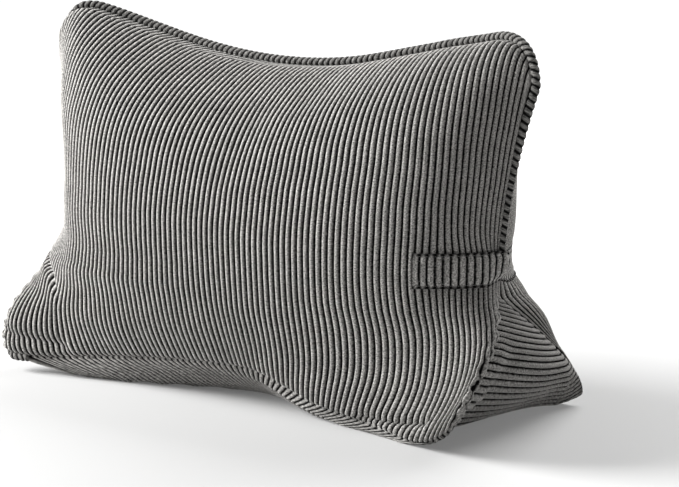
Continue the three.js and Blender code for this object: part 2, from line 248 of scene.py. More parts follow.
def strip_point(count, share):
    """Point of the base strip: pressed on the floor below, swelling out on the gussets."""
    front = strip_edge(count, FRONT)[:, None]
    back = strip_edge(count, BACK)[:, None]
    point = front + (back - front) * share[None, :, None]
    climb = gusset_climb(count)[:, None]
    share = share[None, :]
    hump = 4 * share * (1 - share)
    across = (front + back)[..., 0] / 2
    hollow = HOLLOW_LEAST + HOLLOW_MIDDLE * mound(across, *HOLLOW_PLACE)
    hollow = hollow + sum(more * smooth_step(-across, low, high) for more, low, high in HOLLOW_LEFT)
    drop = 1 - np.clip(1 - np.minimum(share, 1 - share) / hollow, 0, 1) ** HOLLOW_ROUND
    foot = np.minimum(point[..., 2], strip_edge(np.array([BASE_RIBS / 2]), FRONT)[0, 2])
    foot = np.where(climb > 0, foot, point[..., 2])
    ridge = mound(share, *RIDGE_PLACE) - VALLEY_DEPTH * mound(share, *VALLEY_PLACE)
    ridge = ridge * smooth_step(climb, *RIDGE_START) * (1 - smooth_step(climb, *RIDGE_END))
    onset = TUCK_FRONT[0] + (TUCK_FRONT[1] - TUCK_FRONT[0]) * smooth_step(climb, *TUCK_WIDENS)
    tuck = TUCK_DEPTH * (1 - mound(share, 0, onset)) * (1 - np.exp((share - 1) / TUCK_BACK))
    tuck = tuck * np.minimum(np.abs(count)[:, None] / (BASE_RIBS / 2), 1)
    tuck = tuck * (1 - smooth_step(climb, *TUCK_END))
    swell = hump * GUSSET_SWELL * np.sin(np.pi * climb) + RIDGE_HEIGHT * ridge - tuck
    point[..., 0] += np.sign(count)[:, None] * swell
    point[..., 2] -= (1 - climb) ** 2 * (hump * GUSSET_SAG * climb + foot * drop)
    return point


def cubic_weights(x, count):
    """Rows of weights that read a row of values smoothly at places between them."""
    base = np.clip(np.floor(x), 0, count - 2).astype(int)
    f = x - base
    shares = (
        -f / 2 + f**2 - f**3 / 2,
        1 - 2.5 * f**2 + 1.5 * f**3,
        f / 2 + 2 * f**2 - 1.5 * f**3,
        (f**3 - f**2) / 2,
    )
    weights = np.zeros((len(x), count))
    for offset, share in zip((-1, 0, 1, 2), shares):
        np.add.at(weights, (np.arange(len(x)), np.clip(base + offset, 0, count - 1)), share)
    return weights


def read_grid(values, x, y):
    """A grid of values read smoothly at columns x and rows y, both as shares of the grid."""
    across = cubic_weights(x * (values.shape[0] - 1), values.shape[0])
    down = cubic_weights(y * (values.shape[1] - 1), values.shape[1])
    return np.einsum("ia,jb,abk->ijk", across, down, values, optimize=True)


def grid_normals(points):
    """Unit normals of a grid of points, across its columns and rows."""
    normal = np.cross(np.gradient(points, axis=1), np.gradient(points, axis=0))
    return normal / np.maximum(np.linalg.norm(normal, axis=-1, keepdims=True), 1e-12)


def panel_rows(upper, middle, lower):
    """Row shares down a panel and the row at the gusset tips: closest below them, where it creases."""
    high = APEX_SHARE * np.linspace(0, 1, upper + 1) ** ROW_EASE
    crease = np.linspace(APEX_SHARE, LOW_SHARE, middle + 1)[1:]
    return np.concatenate([high, crease, np.linspace(LOW_SHARE, 1, lower + 1)[1:]]), upper


def sew_pouch(front, back, strip, apex_row):
    """Closed mesh of two panels and the strip: points, faces and each grid's point numbers."""
    columns, rows = front.shape[:2]
    front_ids = np.arange(columns * rows).reshape(columns, rows)
    back_ids = front_ids.copy()
    free = np.ones((columns, rows), bool)
    free[:, 0] = False
    free[[0, -1], : apex_row + 1] = False
    back_ids[free] = columns * rows + np.arange(free.sum())
    inner = strip[1:-1]
    strip_ids = np.empty(strip.shape[:2], int)
    strip_ids[1:-1] = columns * rows + free.sum() + np.arange(inner[..., 0].size).reshape(inner.shape[:2])
    strip_ids[0] = front_ids[0, apex_row]
    strip_ids[-1] = front_ids[-1, apex_row]
    points = np.concatenate([front.reshape(-1, 3), back[free], inner.reshape(-1, 3)])
    faces = []
    for ids in (front_ids, back_ids[::-1], strip_ids):
        corners = np.stack([ids[:-1, :-1], ids[:-1, 1:], ids[1:, 1:], ids[1:, :-1]], -1).reshape(-1, 4)
        faces += [list(dict.fromkeys(quad)) for quad in corners.tolist()]
    for ids, row, forward in ((front_ids, 0, True), (back_ids, -1, False)):
        rim = [*ids[0, apex_row:], *ids[1:-1, -1], *ids[-1, apex_row:][::-1]]
        edge = list(strip_ids[:, row])
        a = b = 0
        while a < len(rim) - 1 or b < len(edge) - 1:
            next_rim = np.sum((points[rim[min(a + 1, len(rim) - 1)]] - points[edge[b]]) ** 2)
            next_edge = np.sum((points[edge[min(b + 1, len(edge) - 1)]] - points[rim[a]]) ** 2)
            take_rim = a < len(rim) - 1 and (b == len(edge) - 1 or next_rim <= next_edge)
            third = rim[a + 1] if take_rim else edge[b + 1]
            face = [rim[a], edge[b], third] if forward else [rim[a], third, edge[b]]
            a, b = (a + 1, b) if take_rim else (a, b + 1)
            if len(set(face)) == 3:
                faces.append(face)
    return points, [face for face in faces if len(face) > 2], (front_ids, back_ids, strip_ids)


def mesh_object(name, points, faces, edges=()):
    """Smooth-shaded mesh object at the origin."""
    mesh = bpy.data.meshes.new(name)
    mesh.from_pydata(points.tolist(), edges, faces)
    mesh.shade_smooth()
    made = bpy.data.objects.new(name, mesh)
    bpy.context.scene.collection.objects.link(made)
    return made


SHORTEST_EDGE = 0.0003
FLOOR_TOUCH = 0.001


def blow_up(front, back, strip, apex_row, pressure=4, stretch=0.012, stiffness=0.4, most=0.0035, frames=20,
            smoothing=8):
    """How far stuffing moves each grid of a coarse pouch whose seams and floor stay put."""
    points, faces, grids = sew_pouch(front, back, strip, apex_row)
    shortest = [
        min(math.dist(points[a], points[b]) for a, b in zip(face, face[1:] + face[:1]))
        for face in faces
    ]
    pouch = mesh_object("pouch", points, [f for f, edge in zip(faces, shortest) if edge > SHORTEST_EDGE])
    seams = [ids[:, k] for ids in grids for k in (0, -1)] + [ids[k] for ids in grids[:2] for k in (0, -1)]
    on_floor = np.flatnonzero(points[:, 2] < FLOOR_TOUCH)
    pinned = pouch.vertex_groups.new(name="seams")
    pinned.add(np.unique(np.concatenate([*seams, on_floor])).tolist(), 1, "REPLACE")
    cloth = pouch.modifiers.new("stuffing", "CLOTH")
    cloth.settings.vertex_group_mass = "seams"
    cloth.settings.use_pressure = True
    cloth.settings.uniform_pressure_force = pressure
    cloth.settings.shrink_min = -stretch
    cloth.settings.bending_stiffness = stiffness
    cloth.settings.effector_weights.gravity = 0
    cloth.collision_settings.use_collision = False
    cloth.point_cache.frame_end = frames
    for step in range(1, frames + 1):
        bpy.context.scene.frame_set(step)
    evaluated = pouch.evaluated_get(bpy.context.evaluated_depsgraph_get()).to_mesh()
    moved = np.empty(len(points) * 3)
    evaluated.vertices.foreach_get("co", moved)
    moved = moved.reshape(-1, 3) - points
    outward = np.empty(len(points) * 3)
    pouch.data.vertices.foreach_get("normal", outward)
    outward = outward.reshape(-1, 3)
    moved = outward * np.clip(np.sum(moved * outward, axis=1, keepdims=True), -most, most)
    bpy.data.objects.remove(pouch)
    bpy.context.scene.frame_set(1)
    swells = [moved[ids] for ids in grids]
    for swell in swells:
        for _ in range(smoothing):
            inner = (swell[:-2, 1:-1] + swell[2:, 1:-1] + swell[1:-1, :-2] + swell[1:-1, 2:]) / 4
            swell[1:-1, 1:-1] = (swell[1:-1, 1:-1] + inner) / 2
    return swells


def rib_height(count):
    """Height of the pile above the groove, at counts of ribs."""
    return RIB_RELIEF * np.sqrt(np.clip(1 - np.abs(2 * (count % 1) - 1) ** RIB_ROUND, 0, 1))


def rib_stations(ribs):
    """Counts of ribs at which a ribbed cloth has points, closest in the grooves."""
    return np.append((np.arange(ribs)[:, None] + RIB_STEPS).ravel(), ribs)


def seam_fade(share, reach):
    """How much of a rib's height is left toward the seams at both ends of it."""
    return np.clip(np.minimum(share, 1 - share) / reach, 0, 1) ** 0.5


def fold(u, v, line, spread, tail=0.04, lead=0.04, run=8):
    """Two shares along a line of u and v: a trough's depth and how far ribs have stepped across it."""
    line_u, line_v = np.transpose(line)
    past = v - np.interp(u, line_u, line_v)
    fade = smooth_step(u, line_u[0] - lead, line_u[0] + lead)
    fade = fade * (1 - smooth_step(u, line_u[-1] - tail, line_u[-1]))
    step = smooth_step(past, -spread, spread) * (1 - smooth_step(past, spread, run * spread))
    return fade * mound(past, 0, spread), fade * step


def wander(across, along, seed, waves=40, shortest=0.03, longest=0.12):
    """Uneven sideways drift of ribs, about -1 to 1, over a cloth measured in metres."""
    chance = np.random.default_rng(seed)
    drift = np.zeros(np.broadcast(across, along).shape)
    for _ in range(waves):
        length = chance.uniform(shortest, longest)
        angle = chance.uniform(-0.5, 0.5) + np.pi / 2
        phase = chance.uniform(0, 2 * np.pi)
        place = across * np.cos(angle) + along * np.sin(angle)
        drift += np.sin(2 * np.pi * place / length + phase) * length / longest
    return drift / 4


EAR_CREASE = dict(
    line=[(-0.91, 0.724), (-0.88, 0.732), (-0.778, 0.755), (-0.712, 0.810), (-0.672, 0.860)],
    spread=0.010, tail=0.16,
)
EAR_FOOT_CREASE = dict(
    line=[(-0.93, 0.936), (-0.885, 0.940), (-0.81, 0.948), (-0.67, 0.965)], spread=0.020,
)
FOOT_PUCKER = dict(
    line=[(0.53, 0.980), (0.57, 0.980), (0.64, 0.972), (0.71, 0.955), (0.80, 0.945)], spread=0.014,
)
EAR_DEPTH = 0.005
EAR_FOOT_DEPTH = 0.0045
PUCKER_DEPTH = 0.004
EAR_STEP = 0.008
STRAP_DRAG = 0.005
DRAG_PLACE = (0.165, 0.018)
DRAG_START = (0.72, 0.82)
DRAG_END = (0.90, 1)
GATHER_DEPTH = 0.0026
GATHER_LENGTH = 0.011
GATHER_REACH = 0.06
GATHER_RUN = (0.7, 0.78)
GATHER_CLOTH = (0.4, 0.1)
GATHER_SEED = 3


def front_creases(u, v, points, outward):
    """Front panel with its creases: at the left ear, over its foot, at the right foot and above the strap."""
    ear_depth, ear_step = fold(u, v, **EAR_CREASE)
    low_depth, _ = fold(u, v, **EAR_FOOT_CREASE)
    foot_depth, _ = fold(u, v, **FOOT_PUCKER)
    depth = EAR_DEPTH * ear_depth + EAR_FOOT_DEPTH * low_depth + PUCKER_DEPTH * foot_depth
    uneven = wander(v * GATHER_CLOTH[0], u * GATHER_CLOTH[1], GATHER_SEED)
    gather = np.sin(2 * np.pi * points[..., 2] / GATHER_LENGTH + 2 * uneven)
    gather = gather * mound(1 - np.abs(u), 0, GATHER_REACH) * smooth_step(v, *GATHER_RUN)
    made = points + outward * (GATHER_DEPTH * gather - depth)[..., None]
    across = np.gradient(points, axis=0)
    across /= np.linalg.norm(across, axis=-1, keepdims=True)
    drag = mound(points[..., 2], *DRAG_PLACE)
    drag = drag * smooth_step(u, *DRAG_START) * (1 - smooth_step(u, *DRAG_END))
    return made + across * (STRAP_DRAG * drag - EAR_STEP * ear_step)[..., None]


rib_counts = rib_stations(RIBS)
panel_u = 2 * rib_counts / RIBS - 1
panel_v, panel_apex = panel_rows(*PANEL_ROWS)
strip_ribs = BASE_RIBS + 2 * GUSSET_RIBS
strip_counts = rib_stations(strip_ribs)
strip_shares = (1 - np.cos(np.linspace(0, np.pi, STRIP_ROWS + 1))) / 2

COARSE_COLUMNS = 91
COARSE_ROWS = (29, 7, 6)
COARSE_STRIP = (85, 13)
coarse_u = np.linspace(-1, 1, COARSE_COLUMNS)
coarse_v, coarse_apex = panel_rows(*COARSE_ROWS)
coarse_counts = np.linspace(-strip_ribs / 2, strip_ribs / 2, COARSE_STRIP[0])
coarse = [panel_point(coarse_u[:, None], coarse_v, face) for face in (FRONT, BACK)]
coarse.append(strip_point(coarse_counts, np.linspace(0, 1, COARSE_STRIP[1])))
swells = blow_up(*coarse, coarse_apex)

DRIFT_CLOTH = (0.27, 0.4)
DRIFT_SEED = 5
DRIFT_FADE = 0.1
PANEL_SEAM = 0.014
STRIP_SEAM = 0.04
panel_places = np.interp(panel_v, coarse_v, np.linspace(0, 1, len(coarse_v)))
panels = []
for face, swell in zip((FRONT, BACK), swells):
    points = panel_point(panel_u[:, None], panel_v, face)
    points = points + read_grid(swell, (panel_u + 1) / 2, panel_places)
    drift = wander(panel_u[:, None] * DRIFT_CLOTH[0], panel_v * DRIFT_CLOTH[1], DRIFT_SEED + face["sign"])
    drift = drift * (1 - panel_u[:, None] ** 8) * smooth_step(panel_v, 0, DRIFT_FADE)
    points[..., 0] += RIB_DRIFT * drift * (1 - smooth_step(panel_v, 1 - DRIFT_FADE, 1))
    outward = grid_normals(points) * -face["sign"]
    if face is FRONT:
        points = front_creases(panel_u[:, None], panel_v, points, outward)
        outward = grid_normals(points) * -face["sign"]
    relief = rib_height(rib_counts)[:, None] * seam_fade(panel_v, PANEL_SEAM)
    panels.append(points + outward * relief[..., None])
strip = strip_point(strip_counts - strip_ribs / 2, strip_shares)
strip += read_grid(swells[2], strip_counts / strip_ribs, strip_shares)
relief = rib_height(strip_counts)[:, None] * seam_fade(strip_shares, STRIP_SEAM)
strip += grid_normals(strip) * relief[..., None]
strip[..., 2] = np.maximum(strip[..., 2], 0)

points, faces, grids = sew_pouch(*panels, strip, panel_apex)
cover = mesh_object("cover", points, faces)


def store_values(made, **values):
    """Keeps named values at a mesh's points for its cloth."""
    for name, numbers in values.items():
        stored = made.data.attributes.new(name, "FLOAT", "POINT")
        stored.data.foreach_set("value", np.ascontiguousarray(numbers, np.float32).ravel())


# Painted shading: toward the right end, which lies in shade, the painted groove shade narrows and the tone is
# painted darker; toward the lit left end the painted groove shadows widen and the tone is painted lighter.
PAINTED_SHADING_FRONT = dict(left=-0.3, right=0.8, start=0.2)
PAINTED_SHADING_BACK = dict(left=-0.45, right=0.2, start=0.7)
PAINTED_SHADING_END = 0.95
PAINTED_SHADING_STRIP = (-0.7, 0.1, 0.1, 0.85)
PANEL_LENGTH = 0.42
STRIP_DEPTH = 0.2
rib_values = np.zeros(len(points))
along_values = np.zeros(len(points))
closed_values = np.zeros(len(points))
strip_stations = (GUSSET_RIBS, GUSSET_RIBS + 1, BASE_RIBS + GUSSET_RIBS, BASE_RIBS + GUSSET_RIBS + 1)
rib_values[grids[2]] = strip_counts[:, None]
along_values[grids[2]] = strip_shares * STRIP_DEPTH
closed_values[grids[2]] = np.interp(strip_counts, strip_stations, PAINTED_SHADING_STRIP)[:, None]
for ids, shading in ((grids[1], PAINTED_SHADING_BACK), (grids[0], PAINTED_SHADING_FRONT)):
    rib_values[ids] = rib_counts[:, None]
    along_values[ids] = panel_v * PANEL_LENGTH
    share = smooth_step(panel_u, shading["start"], PAINTED_SHADING_END)
    closed_values[ids] = (shading["left"] + (shading["right"] - shading["left"]) * share)[:, None]
store_values(cover, rib=rib_values, along=along_values, closed=closed_values)


def set_inputs(made, inputs):
    """Links or sets the inputs of a node."""
    for key, value in inputs.items():
        if isinstance(value, bpy.types.NodeSocket):
            made.id_data.links.new(value, made.inputs[key])
        else:
            made.inputs[key].default_value = value


def node_maker(tree):
    """A function that adds a node with its inputs and settings to a tree."""
    def node(kind, inputs=None, **settings):
        made = tree.nodes.new(kind)
        for key, value in settings.items():
            setattr(made, key, value)
        set_inputs(made, inputs or {})
        return made

    return node


def new_material(name):
    """A plain material, its shader and its node maker."""
    material = bpy.data.materials.new(name)
    material.use_nodes = True
    return material, material.node_tree.nodes["Principled BSDF"], node_maker(material.node_tree)


COVER_COLOUR = (0.252, 0.245, 0.2345, 1)
# The grooves are painted near black as shade, darker than the raised ribs alone make them.
GROOVE_SHADE_COLOUR = (0.002, 0.002, 0.002, 1)
GROOVE_SHADE_START = 0.17
GROOVE_SHADE_END = 0.48
GROOVE_SHADE_NARROWING = -0.17
GROOVE_SHADE_FRAY = 0.22
PILE_FUZZ = 0.28


def corduroy(name, crest):
    """Cut-pile cloth: pale crests, grooves painted near black as shade, a painted side shade, short fibres
    that scatter light at a glance.
    """
    material, shader, node = new_material(name)
    rib = node("ShaderNodeAttribute", attribute_name="rib").outputs["Fac"]
    along = node("ShaderNodeAttribute", attribute_name="along").outputs["Fac"]
    closed = node("ShaderNodeAttribute", attribute_name="closed").outputs["Fac"]
    across = node("ShaderNodeMath", {0: rib, 1: RIB_PITCH}, operation="MULTIPLY").outputs[0]
    place = node("ShaderNodeCombineXYZ", {"X": across, "Y": along}).outputs["Vector"]
    fray = node("ShaderNodeTexNoise", {"Vector": place, "Scale": 350, "Detail": 2}).outputs["Fac"]
    fibre = node("ShaderNodeTexNoise", {"Vector": place, "Scale": 620, "Detail": 3, "Roughness": 0.7})
    fibre = fibre.outputs["Fac"]
    wear = node("ShaderNodeTexNoise", {"Vector": place, "Scale": 40, "Detail": 2, "Roughness": 0.5})
    from_groove = node("ShaderNodeMath", {0: rib, 1: 0.5}, operation="PINGPONG").outputs[0]
    frayed = node("ShaderNodeMath", {0: fray, 1: GROOVE_SHADE_FRAY, 2: from_groove}, operation="MULTIPLY_ADD")
    # The painted shading value narrows the painted groove shade on the shaded side and widens it on the lit
    # side.
    full = node("ShaderNodeMath", {0: closed, 1: GROOVE_SHADE_NARROWING, 2: GROOVE_SHADE_END}, operation="MULTIPLY_ADD")
    # Painted groove shade: the groove colour fills each groove and fades into the crest colour across this
    # band.
    pile = node("ShaderNodeMapRange", {"Value": frayed.outputs[0], "From Min": GROOVE_SHADE_START,
                                       "From Max": full.outputs[0]},
                interpolation_type="SMOOTHSTEP").outputs["Result"]
    speckle = node("ShaderNodeMapRange", {"Value": fibre, "From Min": 0.34, "From Max": 0.66,
                                          "To Min": 0.2, "To Max": 1.8}).outputs["Result"]
    patch = node("ShaderNodeMapRange", {"Value": wear.outputs["Fac"], "From Min": 0.3, "From Max": 0.7,
                                        "To Min": 0.9, "To Max": 1.1}).outputs["Result"]
    # Painted side shade: the tone is painted lighter where the painted shading value is low, on the lit left,
    # and darker where it is high, on the shaded right.
    side_shade = node("ShaderNodeMapRange", {"Value": closed, "From Min": -0.3, "From Max": 0.85,
                                      "To Min": 1.07, "To Max": 0.80}).outputs["Result"]
    fibre_tone_and_side_shade = node("ShaderNodeMath", {0: speckle, 1: patch}, operation="MULTIPLY").outputs[0]
    fibre_tone_and_side_shade = node("ShaderNodeMath", {0: fibre_tone_and_side_shade, 1: side_shade}, operation="MULTIPLY").outputs[0]
    cloth = node("ShaderNodeMix", {"Factor": pile, "A": GROOVE_SHADE_COLOUR, "B": crest}, data_type="RGBA")
    shaded = node("ShaderNodeVectorMath", {0: cloth.outputs["Result"], "Scale": fibre_tone_and_side_shade}, operation="SCALE")
    bump = node("ShaderNodeBump", {"Height": fibre, "Strength": 0.5, "Distance": 0.0006})
    fuzz = node("ShaderNodeMath", {0: pile, 1: PILE_FUZZ}, operation="MULTIPLY")
    set_inputs(shader, {
        "Base Color": shaded.outputs["Vector"],
        "Normal": bump.outputs["Normal"],
        "Roughness": 0.95,
        "Specular IOR Level": 0.05,
        "Sheen Weight": fuzz.outputs[0],
        "Sheen Roughness": 0.35,
        "Sheen Tint": (0.9, 0.89, 0.87, 1),
    })
    return material


cover.data.materials.append(corduroy("grey corduroy", COVER_COLOUR))
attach(cover, "root")
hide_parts("cushion")

# Piping: a cord wrapped in a bias strip of the same corduroy and sewn into the top seam, both side seams and
# the front edge of each gusset. The ribs cross the cord, so it looks like a row of beads.
PIPING_RADIUS = 0.0042
PIPING_GROOVE = 0.32
PIPING_LIFT = 0.0035
PIPING_BIAS = (0.4, 0.35, 0.5)
PIPING_SIDES = 12
PIPING_STEPS = 8
PIPING_POINTS = dict(corner=40, side=120, top=160)
# The piping's colour is painted darker than the cover's, as shade in the piped seams.
PIPING_SHADED_COLOUR = (0.14, 0.1365, 0.1305, 1)
BEAD_ROUND = 0.6
SUNK_RIGHT = 1.9
SUNK_START = (0.62, 0.67)
TIP_SHOWS = 0.3
TIP_RUN = 0.1
FOOT_SHOWS = 0.5
FOOT_START = (0.84, 0.89)
FOOT_END = (0.95, 0.99)
SUNK_LEFT = 1.7
LEFT_CORNER = (0.90, 0.985)
INSIDE_U = 0.97
INSIDE_V = 0.98
GUSSET_TURN = 0.12
GUSSET_BACKWARD = 0.1
GUSSET_DOWN = 0.7


def panel_normal(u, v, face, h=0.004):
    """Outward direction of a panel."""
    across = panel_point(np.minimum(u + h, 1), v, face) - panel_point(np.maximum(u - h, -1), v, face)
    down = panel_point(u, np.minimum(v + h, 1), face) - panel_point(u, np.maximum(v - h, 0), face)
    normal = -face["sign"] * np.cross(down, across)
    return normal / np.linalg.norm(normal, axis=-1, keepdims=True)


def seam_line(u, v, lift):
    """Points that stand off the piped seam by a lift, less where the cloth hides the cord."""
    u, v = np.broadcast_arrays(np.asarray(u, float), np.asarray(v, float))
    in_u = np.clip(u, -INSIDE_U, INSIDE_U)
    in_v = np.clip(v, 1 - INSIDE_V, INSIDE_V)
    gusset = np.stack([np.sign(u), np.full_like(u, GUSSET_BACKWARD), -GUSSET_DOWN * v**8], -1)
    hidden = smooth_step(v, *SUNK_START) * (1 - TIP_SHOWS * smooth_step(v, APEX_SHARE, APEX_SHARE + TIP_RUN))
    hidden = hidden * (1 - FOOT_SHOWS * smooth_step(v, *FOOT_START) * (1 - smooth_step(v, *FOOT_END)))
    sunk = np.where(u > 0, SUNK_RIGHT * hidden, SUNK_LEFT * smooth_step(-u, *LEFT_CORNER))
    share = smooth_step(v, APEX_SHARE - GUSSET_TURN, APEX_SHARE)[..., None]
    out = panel_normal(in_u, in_v, BACK) * (1 - share) + gusset * share + panel_normal(in_u, in_v, FRONT)
    out = out / np.linalg.norm(out, axis=-1, keepdims=True)
    return panel_point(u, v, FRONT) + lift * (1 - sunk)[..., None] * out


corner_turn = np.sin(np.linspace(0, np.pi / 2, PIPING_POINTS["corner"]))
corner_u = CORNER_SHARE + (1 - CORNER_SHARE) * corner_turn
side_v = np.linspace(1, 0, PIPING_POINTS["side"])[1:]
top_u = np.cos(np.linspace(0, np.pi / 2, PIPING_POINTS["top"]))[1:]
halves = [
    np.concatenate([
        seam_line(side * corner_u, 1, PIPING_LIFT),
        seam_line(side, side_v, PIPING_LIFT),
        seam_line(side * top_u, 0, PIPING_LIFT),
    ])
    for side in (1, -1)
]
piping_line = np.concatenate([halves[0], halves[1][-2::-1]])
piping = mesh_object("piping", piping_line, [], [(k, k + 1) for k in range(len(piping_line) - 1)])


def node_tree(name, sizes):
    """Geometry node tree with named size inputs: the tree, its node maker and its inputs."""
    tree = bpy.data.node_groups.new(name, "GeometryNodeTree")
    tree.interface.new_socket("Geometry", in_out="INPUT", socket_type="NodeSocketGeometry")
    for size in sizes:
        tree.interface.new_socket(size, in_out="INPUT", socket_type="NodeSocketFloat")
    tree.interface.new_socket("Geometry", in_out="OUTPUT", socket_type="NodeSocketGeometry")
    node = node_maker(tree)
    return tree, node, node("NodeGroupInput").outputs


def close_tree(node, geometry, material):
    """Ends a tree in plain faces with one material."""
    real = node("GeometryNodeRealizeInstances", {"Geometry": geometry}).outputs["Geometry"]
    smooth = node("GeometryNodeSetShadeSmooth", {"Geometry": real}).outputs["Geometry"]
    dressed = node("GeometryNodeSetMaterial", {"Geometry": smooth, "Material": material})
    node("NodeGroupOutput", {"Geometry": dressed.outputs["Geometry"]})


def bake_tree(made, tree, sizes):
    """Runs a tree on an object with the given sizes and keeps the result as its plain mesh."""
    modifier = made.modifiers.new(tree.name, "NODES")
    modifier.node_group = tree
    sockets = {s.name: s.identifier for s in tree.interface.items_tree if s.in_out == "INPUT"}
    for name, value in sizes.items():
        modifier[sockets[name]] = value
    evaluated = made.evaluated_get(bpy.context.evaluated_depsgraph_get())
    mesh = bpy.data.meshes.new_from_object(evaluated)
    made.modifiers.remove(modifier)
    made.data = mesh


beads, node, given = node_tree("beaded cord", ("Pitch", "Radius", "Groove"))
line = node("GeometryNodeMeshToCurve", {"Mesh": given["Geometry"]}).outputs["Curve"]
step = node("ShaderNodeMath", {0: given["Pitch"], 1: PIPING_STEPS}, operation="DIVIDE").outputs[0]
line = node("GeometryNodeResampleCurve", {"Curve": line, "Length": step}, mode="LENGTH").outputs["Curve"]
length = node("GeometryNodeSplineParameter").outputs["Length"]
line = node("GeometryNodeStoreNamedAttribute", {"Geometry": line, "Name": "along", "Value": length},
            data_type="FLOAT", domain="POINT").outputs["Geometry"]
centre = node("GeometryNodeInputPosition").outputs["Position"]
line = node("GeometryNodeStoreNamedAttribute", {"Geometry": line, "Name": "centre", "Value": centre},
            data_type="FLOAT_VECTOR", domain="POINT").outputs["Geometry"]
ring = node("GeometryNodeCurvePrimitiveCircle", {"Resolution": PIPING_SIDES, "Radius": 1.0}).outputs["Curve"]
tube = node("GeometryNodeCurveToMesh", {"Curve": line, "Profile Curve": ring, "Scale": given["Radius"],
                                        "Fill Caps": True}).outputs["Mesh"]
along = node("GeometryNodeInputNamedAttribute", {"Name": "along"}, data_type="FLOAT").outputs["Attribute"]
middle = node("GeometryNodeInputNamedAttribute", {"Name": "centre"}, data_type="FLOAT_VECTOR")
spot = node("GeometryNodeInputPosition").outputs["Position"]
off = node("ShaderNodeVectorMath", {0: spot, 1: middle.outputs["Attribute"]}, operation="SUBTRACT")
off = off.outputs["Vector"]
slant = node("ShaderNodeVectorMath", {0: off, 1: PIPING_BIAS}, operation="DOT_PRODUCT").outputs["Value"]
place = node("ShaderNodeMath", {0: along, 1: slant}, operation="ADD").outputs[0]
count = node("ShaderNodeMath", {0: place, 1: given["Pitch"]}, operation="DIVIDE").outputs[0]
apart = node("ShaderNodeMath", {0: count, 1: 0.5}, operation="PINGPONG").outputs[0]
swell = node("ShaderNodeMath", {0: apart, 1: math.pi}, operation="MULTIPLY").outputs[0]
bead = node("ShaderNodeMath", {0: swell}, operation="SINE").outputs[0]
bead = node("ShaderNodeMath", {0: bead, 1: BEAD_ROUND}, operation="POWER").outputs[0]
short = node("ShaderNodeMath", {0: bead, 1: 1.0}, operation="SUBTRACT").outputs[0]
cut = node("ShaderNodeMath", {0: short, 1: given["Groove"]}, operation="MULTIPLY").outputs[0]
shift = node("ShaderNodeVectorMath", {0: off, "Scale": cut}, operation="SCALE").outputs["Vector"]
beaded = node("GeometryNodeSetPosition", {"Geometry": tube, "Offset": shift}).outputs["Geometry"]
beaded = node("GeometryNodeStoreNamedAttribute", {"Geometry": beaded, "Name": "rib", "Value": count},
              data_type="FLOAT", domain="POINT").outputs["Geometry"]
close_tree(node, beaded, corduroy("grey corduroy piping", PIPING_SHADED_COLOUR))
bake_tree(piping, beads, {"Pitch": RIB_PITCH, "Radius": PIPING_RADIUS, "Groove": PIPING_GROOVE})
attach(piping, "root")
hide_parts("piping")

# Handle: a folded strap of the same corduroy with turned-in edges, sewn flat on the front panel, over the
# side piping and on the back panel. Its ribs stand upright, and a stitched box with a cross holds each end.
STRAP_WIDTH = 0.031
STRAP_HEIGHT = 0.155
STRAP_SHARE = 0.55
STRAP_START = 0.682
STRAP_LAST = 0.930
STRAP_SLIP = 0.004
SLIP_RUN = 0.1
STRAP_THICKNESS = 0.0024
STRAP_RELIEF = 0.0023
STRAP_LIFT = dict(front=0.0036, back=0.0020)
STRAP_CROSSING = 0.0052
STRAP_COLOUR = (0.285, 0.277, 0.265, 1)
STRAP_LINES = 9
SIDE_POINTS = 30
TURN_POINTS = 9
SECTION_POINTS = 28
ACROSS_ROUND = 0.45
HEIGHT_ROUND = 0.5
STITCH_DRAW = 0.0024
# Band across the strap's edges that takes a painted shadow.
EDGE_SHADOW_RUN = (0.0122, 0.0148)
PAINTED_SHADING_STRAP = 0.5
EDGE_SHADOW_STRENGTH = 5


def strap_share(u, z):
    """Share down a panel at which it has a given height."""
    top, foot = seam_heights(reach_of(u, STRAP_SHARE, FRONT))
    return (top - z) / (top - foot)


def stuffed_point(u, v, face):
    """Point of a panel with the swell of the simulation."""
    grid = swells[0 if face is FRONT else 1]
    across = cubic_weights((u + 1) / 2 * (grid.shape[0] - 1), grid.shape[0])
    down = cubic_weights(np.interp(v, coarse_v, np.arange(len(coarse_v))), grid.shape[1])
    return panel_point(u, v, face) + np.einsum("ia,ib,abk->ik", across, down, grid, optimize=True)


def strap_run(across):
    """Points and outward directions along the strap, at a place across its width."""
    z = STRAP_HEIGHT + across
    places = np.linspace(STRAP_START, STRAP_LAST, SIDE_POINTS)
    points = []
    normals = []
    for face, shares, slip, side in ((FRONT, places, 0, "front"), (BACK, places[::-1], STRAP_SLIP, "back")):
        v = strap_share(shares, z - slip * np.clip((1 - shares) / SLIP_RUN, 0, 1))
        normal = panel_normal(shares, v, face)
        normals.append(normal)
        points.append(stuffed_point(shares, v, face) + STRAP_LIFT[side] * normal)
    v = strap_share(np.array(1.0), z)
    centre = seam_line(1, v, PIPING_LIFT)
    out = seam_line(1, v, 1) - seam_line(1, v, 0)
    turn = np.linspace(0, 1, TURN_POINTS)[:, None]
    bend = normals[0][-1] * np.clip(1 - 2 * turn, 0, 1) + out * (1 - np.abs(2 * turn - 1))
    bend = bend + normals[1][0] * np.clip(2 * turn - 1, 0, 1)
    bend /= np.linalg.norm(bend, axis=1, keepdims=True)
    run = np.concatenate([points[0], centre + STRAP_CROSSING * bend, points[1]])
    return run, np.concatenate([normals[0], bend, normals[1]])


